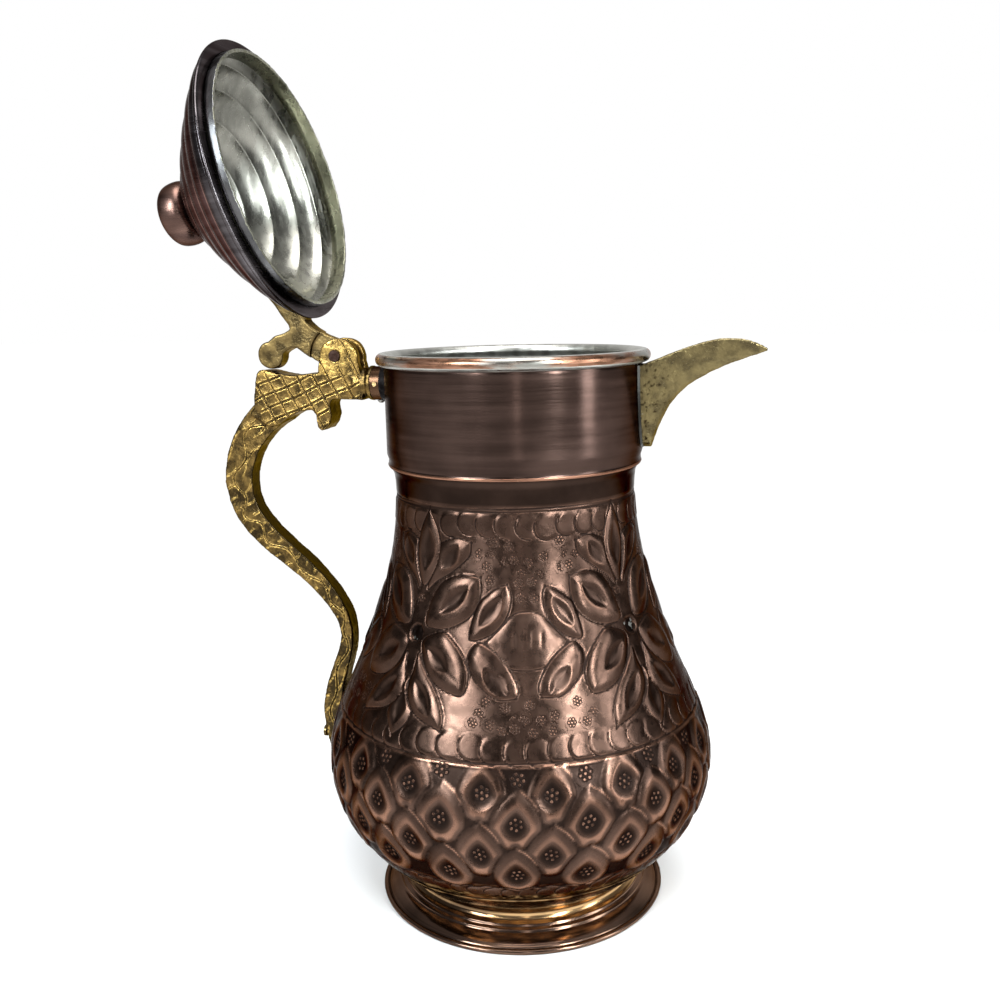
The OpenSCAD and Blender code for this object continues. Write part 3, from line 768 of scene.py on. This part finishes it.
def make_body(outside, inside):
    """The shell: chased rows outside, plain rows inside, and a fan of faces under and over
    the middle of the bottom."""
    run = body_rows()
    r = np.interp(run, wall_run, wall_line[:, 0])
    z = np.interp(run, wall_run, wall_line[:, 1])
    azimuth = -180 + np.arange(COLUMNS) * 360 / COLUMNS
    grid = Chasing(azimuth, z)
    chase(grid)
    angle = np.radians(azimuth)[None, :]
    hand = 0.16 * (np.sin(3 * angle + z[:, None] * 0.05) + 0.6 * np.sin(8 * angle - z[:, None] * 0.09))
    ends = unit((z - 12) / 10) * unit((176 - z) / 6)
    moved = (grid.height + hand) * ends[:, None]
    slope_r, slope_z = np.gradient(r, run), np.gradient(z, run)
    radius = r[:, None] + moved * slope_z[:, None]
    level = z[:, None] - moved * slope_r[:, None]
    level = np.broadcast_to(level, radius.shape)
    outer = np.stack([radius * np.cos(angle), radius * np.sin(angle), level], -1)
    inner_run = np.linspace(wall_run[-1], 0, 44)
    ri = np.interp(inner_run, wall_run, wall_line[:, 0])
    zi = np.interp(inner_run, wall_run, wall_line[:, 1])
    nr, nz = np.gradient(zi, inner_run), -np.gradient(ri, inner_run)
    size = np.hypot(nr, nz)
    ri, zi = ri - SHEET * nr / size, zi - SHEET * nz / size
    zi[0] = SHELL_TOP
    inner = np.stack([ri[:, None] * np.cos(angle), ri[:, None] * np.sin(angle),
                      np.repeat(zi[:, None], COLUMNS, 1)], -1)
    points = np.vstack([outer.reshape(-1, 3), inner.reshape(-1, 3)])
    rows = len(run) + len(inner_run)
    faces = grid_faces(rows, COLUMNS, False)
    which = np.repeat((np.arange(rows - 1) >= len(run) - 1).astype(int), COLUMNS).tolist()
    base = len(points)
    points = np.vstack([points, [[0, 0, FLOOR_Z], [0, 0, FLOOR_Z + SHEET]]])
    last = (rows - 1) * COLUMNS
    for k in range(COLUMNS):
        after = (k + 1) % COLUMNS
        faces.append([base, after, k])
        which.append(0)
        faces.append([base + 1, last + k, last + after])
        which.append(1)
    piece = add_piece("jug_body", points, faces, [outside, inside], "jug",
                      ["body_shell"], which)
    extra = len(points) - grid.height.size
    set_attribute(piece, "line", np.concatenate([grid.line.ravel(), np.full(extra, PLAIN)]))
    set_attribute(piece, "wear_and_painted_light", np.concatenate([np.clip(grid.wear_and_painted_light, -1, 1).ravel(), np.zeros(extra)]))
    set_attribute(piece, "stamp", np.vstack([grid.stamp.reshape(-1, 3), np.full((extra, 3), PLAIN)]))
    return piece


# ------------------------ rim, foot, lid: turned pieces
def make_collar(outside, bead, inside, lap):
    """Collar with its lower edge lapped over the shell, up to the tinned roll of the rim."""
    in_r = LAP_R + 0.05
    centre = (BEAD_RING, RIM_Z)
    outline = joined(
        [[in_r, LAP_Z + 9], [in_r, LAP_Z + 0.3], [in_r + 0.2, LAP_Z]],
        [[in_r + 0.65, LAP_Z], [in_r + 0.95, LAP_Z + 0.15]],
        circle_arc((49.45, LAP_Z + 0.75), 0.5, -60, 60, 6),
        [[49.72, LAP_Z + 1.8], [49.62, LAP_Z + 3.0]],
        [[COLLAR_R, z] for z in np.linspace(LAP_Z + 5, RIM_Z - 4, 14)],
        [[COLLAR_R, RIM_Z - 3], [COLLAR_R - 0.1, RIM_Z - 2.6], [COLLAR_R + 0.2, RIM_Z - 2.35]],
        circle_arc(centre, BEAD_R, -80, 198, 32),
        [[49.0, RIM_Z - 1.6], [49.25, RIM_Z - 3.2], [49.3, RIM_Z - 12], [49.3, LAP_Z + 11]])

    def bands(line):
        mid = (line + np.roll(line, -1, 0)) / 2
        top = np.hypot(mid[:, 0] - centre[0], mid[:, 1] - centre[1]) < BEAD_R + 0.1
        turn = np.degrees(np.arctan2(mid[:, 1] - centre[1], mid[:, 0] - centre[0]))
        inner = (mid[:, 0] < 49.4) & (mid[:, 1] > LAP_Z + 8)
        silver = inner | (top & ((turn > 66) | (turn < -38)))
        return np.where(silver, 2, np.where(top, 1, np.where(mid[:, 1] < LAP_Z + 1.3, 3, 0)))
    return lathe("neck_collar", outline, [outside, bead, inside, lap], "jug",
                 ["collar", "rim_wire"], 360, bands, uneven(0.05, 3))


def make_foot(flange, waist):
    """Foot ring: a rolled edge, a flat flange, two steps and a waist."""
    edge = FOOT_R - 0.5
    roll = circle_arc((FOOT_R - 1.15, 1.15), 1.1, -110, 150, 16)
    outline = joined(
        roll, [[edge - 1.6, 2.05], [edge - 2.2, 2.35]],
        bezier([[edge - 2.4, 2.6], [55, 3.4], [53, 4.9], [51.6, 5.0]], 8),
        [[51.35, 5.15], [51.3, 5.9], [51.1, 6.15], [49.9, 6.4], [49.65, 6.6], [49.6, 7.2], [49.4, 7.45]],
        bezier([[48.6, 7.7], [46.9, 8.6], [46.2, 10.6], [48.2, 13.4]], 12),
        [[47.9, 13.6], [46.4, 13.0], [45.5, 11.6], [45.4, 9], [46.8, 6.6], [50, 4.3], [edge - 1.8, 1.3]])
    return lathe("foot", outline, [flange, waist], "jug", ["foot_ring"], 360,
                 lambda line: (line[:, 1] > 7.3).astype(int), uneven(0.06, 5))


def dome_outline():
    """The stepped lid from brim to crown: its smooth line, its normals, its five swellings."""
    curve = [[53.5, RIM_Z + 9], [48.8, RIM_Z + 15.7], [27.7, RIM_Z + 33.4], [14, CROWN_Z - 0.7]]
    line = bezier(curve, 131)
    t = np.linspace(0, 1, len(line))
    slope = np.gradient(line, axis=0)
    normal = np.stack([slope[:, 1], -slope[:, 0]], -1)
    normal /= np.linalg.norm(normal, axis=1)[:, None]
    return line, normal, 0.85 * np.abs(np.sin(LID_STEPS * np.pi * t)) ** 0.8


def make_lid(outside, inside, brim_metal, step_highlight):
    """Stepped dome with its brim, and the flat crown that the knob's shank goes through."""
    line, normal, swell = dome_outline()
    outer = line + normal * swell[:, None]
    inner = line + normal * (swell[:, None] - SHEET)
    roll = [[54.0, SKIRT_Z + 3.7], [55.6, SKIRT_Z + 3.7], [55.9, SKIRT_Z + 4.6], [54.9, SKIRT_Z + 5.6]]
    brim = joined(bezier(roll, 9), [[54.2, SKIRT_Z + 5.9]])
    crown = bezier([outer[-1], [10, outer[-1][1] + 0.9], [6, CROWN_Z], [2.6, CROWN_Z]], 8)
    under_z = CROWN_Z - SHEET
    under = bezier([[2.6, under_z], [6, under_z], [10, inner[-1][1] + 0.9], inner[-1]], 8)
    outline = joined(brim, outer, crown[1:], under, inner[::-1][1:],
                     [[50.1, SKIRT_Z + 6.0], [50.1, SKIRT_Z + 3.9], [51.2, SKIRT_Z + 3.6]])
    n_out = len(brim) + len(outer) + len(crown) - 1

    def bands(points):
        k = np.arange(len(points))
        kind = np.where(k < n_out, 0, 1)
        # The creases between the swellings get a brighter copper: a painted highlight along each step.
        kind[len(brim):len(brim) + len(swell)][swell < 0.22] = 3
        kind[(k < len(brim) + len(swell) // LID_STEPS - 3) | (k > len(points) - 4)] = 2
        return kind
    return lathe("lid_bell", outline, [outside, inside, brim_metal, step_highlight], "lid",
                 ["lid_dome"], 320, bands, uneven(0.07, 9), SWING)


def make_skirt(outside, inside):
    """Tinned band inside the brim, its lower edge hand-cut."""
    up = np.array([0.0, 0.25, 0.6, 1.2, 2.2, 3.5])
    outer = np.stack([50.6 + 0.2 * up / 3.5, SKIRT_Z + up], -1)
    inner = np.stack([49.4 - 0.1 * up / 3.5, SKIRT_Z + up], -1)
    shoulder = [[49.9, SKIRT_Z + 3.6], [49.9, SKIRT_Z + 6.0], [49.0, SKIRT_Z + 6.0]]
    outline = joined(outer, shoulder, inner[::-1])
    phase = np.random.default_rng(21).uniform(0, 6.28, 8)

    def rough(a, r, z):
        low = unit(1 - (z - SKIRT_Z) / 0.5)
        nicks = sum(np.sin(n * a + p) for n, p in zip((7, 13, 23, 41, 67, 97, 149, 31), phase))
        return 0.03 * nicks * low, 0.05 * nicks * low

    def bands(line):
        return (line[:, 0] < 49.95).astype(int)
    return lathe("lid_rim_band", outline, [outside, inside], "lid", ["lid_skirt"], 480,
                 bands, rough, SWING)


def make_knob(metal):
    """Turned knob: shank and washer under the lid's crown, neck, flange and flattened ball."""
    outline = np.array([0, CROWN_Z]) + joined(
        [[0.05, -3.5], [3.5, -3.5], [3.6, -3.3], [3.6, -2.7], [2.4, -2.6]],
        [[2.4, 0.05], [6, 0.05], [6.25, 0.4], [6.6, 0.8], [8.6, 1.0], [9.0, 1.2], [9.1, 2.2]],
        bezier([[9.3, 2.5], [13.2, 2.6], [13.5, 7.6], [12.7, 11.2]], 18),
        bezier([[12.5, 11.8], [11.6, 14.6], [7.0, 16.6], [0.05, 16.9]], 14))
    return lathe("lid_knob", outline, [metal], "lid", ["knob"], 160, place=SWING)


# ------------------------ cast pieces
def cast_skin(node, voxel, rounds):
    """A CAD node as one even skin with its edges softened, as a casting has them.

    Gives the mesh, its points in mm, its edges and its normals.
    """
    mesh = frame["nodes"][node].data.copy()
    shape = bmesh.new()
    shape.from_mesh(mesh)
    bmesh.ops.remove_doubles(shape, verts=shape.verts, dist=1e-6)
    shape.to_mesh(mesh)
    shape.free()
    holder = bpy.data.objects.new("holder", mesh)
    scene.collection.objects.link(holder)
    skin = holder.modifiers.new("skin", "REMESH")
    skin.mode = "VOXEL"
    skin.voxel_size = voxel * MM
    bpy.context.view_layer.update()
    ready = bpy.data.meshes.new_from_object(holder.evaluated_get(bpy.context.evaluated_depsgraph_get()))
    bpy.data.objects.remove(holder)
    edges = read_array(ready.edges, "vertices", 2, np.int32)
    points = relaxed(read_array(ready.vertices, "co", 3).astype(float) / MM, edges, rounds)
    move_vertices(ready, points)
    normal = read_array(ready.vertices, "normal", 3).astype(float)
    return ready, points, edges, normal


def casting(node, mesh, points, metal, body, relief, line):
    """The piece that stands for a CAD node, from its skin with the points moved."""
    move_vertices(mesh, points)
    piece = dress(bpy.data.objects.new(node + "_casting", mesh), [metal], body, [node])
    set_attribute(piece, "relief", relief)
    set_attribute(piece, "line", line)
    return piece


def beside(values, edges):
    """Mean of each vertex's neighbours."""
    a, b = edges.T
    n = len(values)
    total = [np.bincount(a, column[b], n) + np.bincount(b, column[a], n) for column in values.T]
    return np.stack(total, -1) / np.maximum(np.bincount(edges.ravel(), minlength=n), 1)[:, None]


def relaxed(points, edges, rounds):
    """Evens out the skin: towards the neighbours, then back, so that nothing shrinks."""
    for k in range(rounds):
        step = -0.52 if k % 2 else 0.5
        points = points + step * (beside(points, edges) - points)
    return points


def grain(edges, count, rounds, seed):
    """A random cast skin: noise per vertex, spread over its neighbours; about -1 to 1."""
    values = np.random.default_rng(seed).normal(size=(count, 1))
    for _ in range(rounds):
        values = 0.5 * values + 0.5 * beside(values, edges)
    return values[:, 0] / (2 * values.std())


def hatch(x, z, angle, pitch, wobble, phase=0.0):
    """Distance to the nearest of a set of parallel lines rising at angle."""
    a = math.radians(angle)
    across = -x * math.sin(a) + z * math.cos(a) + phase
    across = across + wobble * np.sin(x * 0.23 + z * 0.17)
    return np.abs((across / pitch + 0.5) % 1 - 0.5) * pitch


# Middle line of the grip seen from the side: five Bezier curves in x and z.
GRIP_LINE = [[[-98, 201], [-110, 195], [-119.5, 182], [-119.5, 168]],
             [[-119.5, 168], [-119.5, 148], [-98, 139], [-87, 127.5]],
             [[-87, 127.5], [-79, 119], [-73.8, 112], [-73.8, 103]],
             [[-73.8, 103], [-73.8, 94], [-81, 84], [-82, 70]],
             [[-82, 70], [-82.8, 58], [-81.5, 46], [-75, 38.5]]]


def along_grip(x, z):
    """Length along the grip's middle line, and the distance to its left side."""
    line = joined(*[bezier(c, 30)[:-1] for c in GRIP_LINE], GRIP_LINE[-1][-1])
    run = lengths_along(line)
    best = np.full(x.shape, 1e9)
    length, side = np.zeros(x.shape), np.zeros(x.shape)
    for k in range(len(line) - 1):
        d = line[k + 1] - line[k]
        size = np.linalg.norm(d)
        px, pz = x - line[k][0], z - line[k][1]
        t = np.clip((px * d[0] + pz * d[1]) / size ** 2, 0, 1)
        away = np.hypot(px - t * d[0], pz - t * d[1])
        closer = away < best
        best = np.where(closer, away, best)
        length = np.where(closer, run[k] + t * size, length)
        side = np.where(closer, (px * d[1] - pz * d[0]) / size, side)
    return length, side


def make_handle(metal):
    """Cast handle: cross-hatched head, vine along the grip, smooth ears round the pin."""
    mesh, points, edges, normal = cast_skin("handle", 0.45, 24)
    x, _, z = points.T
    flat = unit((np.abs(normal[:, 1]) - 0.75) / 0.2)
    head = (z > 191) & (x > -112) & ~((z < 200) & (x < -106)) & (x < -62)
    ear = head & (z > 213.5)
    near_pin = np.hypot(x - PIN[0], z - PIN[2])
    rising = np.where(ear, PLAIN, hatch(x, z, 22, 5.2, 0.25))
    falling = np.where(ear & (near_pin < 5.2), PLAIN, hatch(x, z, -63, 6.0, 0.25, 1.0))
    cut = np.minimum(rising, falling)
    length, side = along_grip(x, z)
    swing = np.interp(length, [0, 60, 110, 190], [1, 0.9, 0.5, 0.4])
    vine = np.abs(side - 2.4 * np.sin(length * 0.37 + 0.8 * np.sin(length * 0.11)) * swing)
    veins = hatch(x, z, 50, 4.9, 1.6) + 0.3 * np.abs(np.sin(length * 0.23))
    scroll = np.minimum(vine, np.where(np.abs(side) > 1.4, veins, PLAIN)) + 0.12
    cut = np.where(head, cut, np.where(length > 12, scroll, PLAIN))
    cut = np.where(flat > 0.4, cut, PLAIN)
    coarse = grain(edges, len(points), 60, 3)
    lump = 0.13 * coarse + 0.05 * grain(edges, len(points), 8, 4)
    burr = 0.4 * bell(cut - 0.85, 0.35) - bell(cut, 0.45)
    moved = points + normal * (0.3 * burr * flat + lump)[:, None]
    border = unit((0.9 - np.abs(normal[:, 1])) / 0.5)
    dulled = -0.2 - 0.2 * unit(length / 90)
    polish = np.where(ear, 0.36, np.where(head, 0.08, dulled)) + 0.26 * coarse
    return casting("handle", mesh, moved, metal, "jug", polish - 0.75 * border, cut)


def make_arm(metal):
    """Cast arm from the hinge to the lid: smooth round its bore, dull on its edges, with a painted highlight
    on the edges that face up.
    """
    mesh, points, edges, normal = cast_skin("lid_arm", 0.4, 40)
    coarse = grain(edges, len(points), 90, 5)
    quiet = unit((np.hypot(points[:, 0] - PIN[0], points[:, 2] - PIN[2]) - 8) / 4)
    moved = points + normal * (0.12 * coarse * quiet)[:, None]
    border = unit((0.85 - np.abs(normal[:, 1])) / 0.5)
    # Edges facing up are painted brighter: a painted highlight.
    painted_top_highlight = unit((normal[:, 2] - 0.3) / 0.4) * border
    relief = 0.15 * coarse - 0.3 * border + 0.6 * painted_top_highlight
    line = np.full(len(points), PLAIN)
    return casting("lid_arm", mesh, moved, metal, "lid", relief, line)


def make_spout(metal):
    """Cast spout: painted brighter along its top, where its faces turn up (a painted highlight), stained
    where it meets the collar.
    """
    mesh, points, edges, normal = cast_skin("spout", 0.4, 24)
    fine = grain(edges, len(points), 3, 6)
    coarse = grain(edges, len(points), 40, 7)
    moved = points + normal * (0.05 * fine + 0.08 * coarse)[:, None]
    # Faces turned up are painted bright: a painted highlight.
    facing_up_highlight = unit((normal[:, 2] - 0.5) / 0.4)
    root = bell(points[:, 0] - collar_high[1], 9)
    relief = (0.08 + 0.3 * root) * fine + 0.08 * coarse - 0.12 * root + 0.7 * facing_up_highlight
    line = np.full(len(points), PLAIN)
    return casting("spout", mesh, moved, metal, "jug", relief, line)


# ------------------------ build
make_body(copper_body(), tin("tin_lining", 0.16, 0.34, 0.9, 0.01, 0.34))
make_collar(
    copper_turned("copper_collar", (rgb(0.042, 0.026, 0.021), rgb(0.086, 0.054, 0.044)), 0.15, 0.27, 0.011),
    tinned_bead(),
    tin("tin_rim", 0.34, 0.52, 0.9, 0.01, 0.28),
    copper_turned("copper_lap", (rgb(0.17, 0.085, 0.055), rgb(0.34, 0.17, 0.11)), 0.22, 0.34))
make_foot(
    copper_turned("copper_foot", (rgb(0.085, 0.052, 0.038), rgb(0.19, 0.115, 0.08)), 0.1, 0.24),
    copper_turned("bronze_waist", (BRONZE_DARK, BRONZE), 0.1, 0.22))
make_lid(
    copper_turned("copper_lid", (rgb(0.07, 0.042, 0.04), rgb(0.135, 0.082, 0.078)), 0.18, 0.3),
    tin("tin_lid", 0.18, 0.40, 0.86),
    copper_turned("brim_dark", (rgb(0.06, 0.053, 0.055), rgb(0.15, 0.135, 0.14)), 0.16, 0.3),
    # brighter copper for the lid's creases: a painted highlight along each step
    copper_turned("copper_step_highlight", (rgb(0.16, 0.09, 0.08), rgb(0.3, 0.18, 0.155)), 0.2, 0.3))
make_skirt(tin("skirt_dark", 0.06, 0.16, 1.0, 0.03), tin("skirt_tin", 0.16, 0.36, 0.72, 0.02))
make_knob(copper_turned("copper_knob", (rgb(0.055, 0.033, 0.029), rgb(0.15, 0.088, 0.07)), 0.2, 0.34))
make_handle(brass("brass_handle", rgb(0.215, 0.134, 0.042), rgb(0.08, 0.052, 0.019), rgb(0.52, 0.34, 0.10)))
make_arm(brass("brass_arm", rgb(0.19, 0.13, 0.05), rgb(0.085, 0.06, 0.026), rgb(0.42, 0.29, 0.12), 0.12, 0.6))
make_spout(brass("brass_spout", rgb(0.18, 0.14, 0.064), rgb(0.11, 0.086, 0.042), rgb(0.42, 0.38, 0.26),
                 0.2, 0.45))

# The CAD nodes that stay keep their shape and get their own materials.
for node, material in {
        "foot_solder": dark_solid("solder_foot", rgb(0.25, 0.25, 0.24)),
        "spout_solder": tin("solder_spout", 0.03, 0.08, 0.9),
        "handle_ferrule": copper_turned("copper_ferrule", (rgb(0.03, 0.017, 0.01), rgb(0.09, 0.047, 0.027))),
        "ferrule_pin": copper_turned("brass_pin", (rgb(0.6, 0.4, 0.15), rgb(0.8, 0.6, 0.3))),
        "ferrule_solder": dark_solid("solder_ferrule", rgb(0.25, 0.24, 0.22)),
        # near black: a washer, and also painted shade round the handle's boss
        "handle_saddle": dark_solid("saddle_black_and_shade", rgb(0.006, 0.005, 0.005), 0.45),
        "handle_burr": copper_turned("copper_burr", BURR),
        "tail_rivet": copper_turned("brass_rivet", (rgb(0.06, 0.042, 0.02), rgb(0.13, 0.09, 0.04))),
        "tail_burr": copper_turned("copper_washer", BURR),
        "hinge_pin": dark_solid("pin_dark", rgb(0.03, 0.016, 0.012)),
        "lid_arm_rivets": copper_turned("brass_rivets", (rgb(0.3, 0.2, 0.08), rgb(0.5, 0.36, 0.16))),
        "knob_burr": copper_turned("copper_knob_burr", BURR),
}.items():
    mesh = frame["nodes"][node].data
    mesh.materials.clear()
    mesh.materials.append(material)


# ------------------------ stage
def area_light(name, azimuth, elevation, distance, width, height, power, colour=(1, 1, 1)):
    """A soft box round the jug; azimuth is measured from the camera's side, right is positive."""
    turn = CAMERA_SIDE + math.radians(azimuth)
    rise = math.radians(elevation)
    aim = Vector((0, 0, 0.13))
    place = aim + distance * Vector((math.cos(turn) * math.cos(rise), math.sin(turn) * math.cos(rise),
                                     math.sin(rise)))
    data = bpy.data.lights.new(name, "AREA")
    data.shape = "RECTANGLE"
    data.size, data.size_y = width, height
    data.energy = power
    data.color = colour
    light = bpy.data.objects.new(name, data)
    light.location = place
    light.rotation_euler = (aim - place).to_track_quat("-Z", "Y").to_euler()
    scene.collection.objects.link(light)
    return light


def make_camera():
    """The photo's angle: close, a little above, and turned a little on its axis."""
    heading, pitch, roll = math.radians(104.577), 0.186, -0.0219
    forward = Vector((math.cos(heading) * math.cos(pitch), math.sin(heading) * math.cos(pitch),
                      -math.sin(pitch)))
    right = forward.cross(Vector((0, 0, 1))).normalized()
    up = right.cross(forward)
    across = math.cos(roll) * right + math.sin(roll) * up
    upright = -math.sin(roll) * right + math.cos(roll) * up
    data = bpy.data.cameras.new("camera")
    data.sensor_width = 36
    data.lens = 38.47
    camera = bpy.data.objects.new("camera", data)
    turn = Matrix((across, upright, -forward)).transposed()
    camera.matrix_world = Matrix.Translation(CAMERA_PLACE) @ turn.to_4x4()
    scene.collection.objects.link(camera)
    scene.camera = camera


def make_floor():
    """White paper; further out it glows, so that it meets the white behind the jug."""
    mesh = bpy.data.meshes.new("floor")
    corner = [(-1, -1), (1, -1), (1, 1), (-1, 1)]
    mesh.from_pydata([(FLOOR_HALF * x, FLOOR_HALF * y, 0) for x, y in corner], [], [(0, 1, 2, 3)])
    floor = bpy.data.objects.new("floor", mesh)
    scene.collection.objects.link(floor)
    g = Shade("floor_paper", metallic=0.0)
    tone = g.mix(g.noise(0.004, 2.0), rgb(0.86, 0.86, 0.86), rgb(0.9, 0.9, 0.9))
    away = g.node("VectorMath", {0: g.coords}, operation="LENGTH").outputs["Value"]
    far = g.fade(away, 90, 420)
    g.put(g.bsdf.inputs["Emission Color"], rgb(1, 1, 1))
    g.put(g.bsdf.inputs["Emission Strength"], g.times(far, 0.98))
    mesh.materials.append(g.done(g.mix(far, tone, rgb(0, 0, 0)), 0.9))


def make_world():
    """White behind and below the jug, a dim room in front of it."""
    world = bpy.data.worlds.new("studio")
    scene.world = world
    world.use_nodes = True
    g = Nodes(world.node_tree)
    way = g.node("TexCoord", {}).outputs["Generated"]
    side = (math.cos(CAMERA_SIDE), math.sin(CAMERA_SIDE), 0)
    towards = g.node("VectorMath", {0: way, 1: side}, operation="DOT_PRODUCT").outputs["Value"]
    upward = g.node("SeparateXYZ", {0: way}).outputs["Z"]
    room = g.math("MAXIMUM", g.fade(towards, -0.75, -0.25, 0.95, 0.17), g.fade(upward, 0.35, 1.0, 0.0, 0.8))
    lit = g.node("Background", {"Strength": room}).outputs[0]
    seen = g.node("Background", {"Color": rgb(1, 1, 1)}).outputs[0]
    from_camera = g.node("LightPath", {}).outputs["Is Camera Ray"]
    g.node("OutputWorld", {0: g.node("MixShader", {0: from_camera, 1: lit, 2: seen}).outputs[0]})


make_camera()
make_floor()
make_world()
area_light("key_right", 36, 22, 1.6, 0.16, 1.1, 31, (0.9, 0.97, 1.0))
area_light("fill_right", 66, 12, 1.6, 0.3, 1.0, 10, (0.9, 0.96, 1.0))
area_light("window_left", -44, 27, 1.7, 0.34, 0.75, 28, (0.86, 0.95, 1.0))
area_light("strip_left", -31, 20, 1.7, 0.12, 0.9, 7, (0.9, 0.96, 1.0))
area_light("room_strip", 3, 12, 1.7, 0.1, 1.0, 1.5)
area_light("top", 10, 78, 1.5, 1.0, 1.0, 26)
scene.view_settings.view_transform = "Standard"
